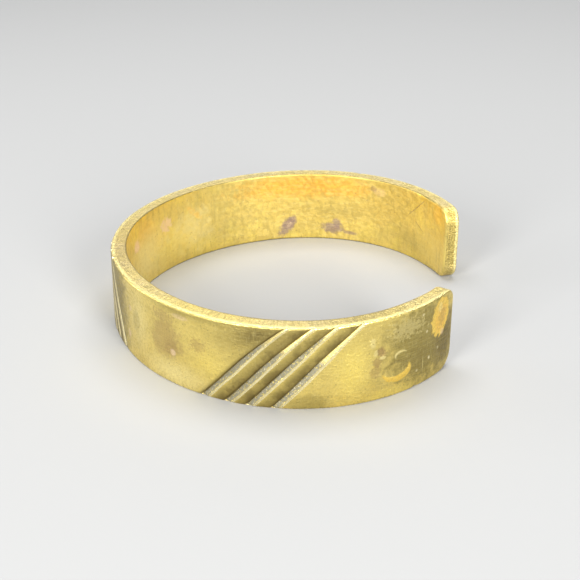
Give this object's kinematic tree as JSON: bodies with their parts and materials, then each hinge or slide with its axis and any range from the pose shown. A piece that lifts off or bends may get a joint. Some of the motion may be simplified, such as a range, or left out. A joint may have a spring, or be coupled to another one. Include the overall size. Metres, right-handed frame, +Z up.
{
  "type": "open cuff bracelet",
  "caption": "Open oval cuff bracelet bent from one flat metal strip, with slanted filed grooves on its outer face; it springs open to pass the wrist.",
  "frame": {"origin": "centre of the open cuff's box, on the plane of the lower rim that it stands on", "axes": "+X from the back of the C towards the gap, +Y along the oval's longest way, towards the rear arm, +Z up, square to the rims"},
  "size_m": [0.0514, 0.0588, 0.012],
  "materials": {
    "brass_strip": "satin brass with fine file and rubbing marks, light tarnish blotches and darker oxide in the grooves"
  },
  "bodies": {
    "rear_arm": {"rear_arm": "brass_strip"},
    "front_arm": {"front_arm": "brass_strip"}
  },
  "joints": [
    {"name": "spring_open", "type": "hinge", "parent": "rear_arm", "child": "front_arm", "pos_m": [-0.02455, 0, 0.006], "axis": [0, 0, -1], "range_deg": [-4, 8], "stiffness_Nm_per_rad": 18}
  ]
}
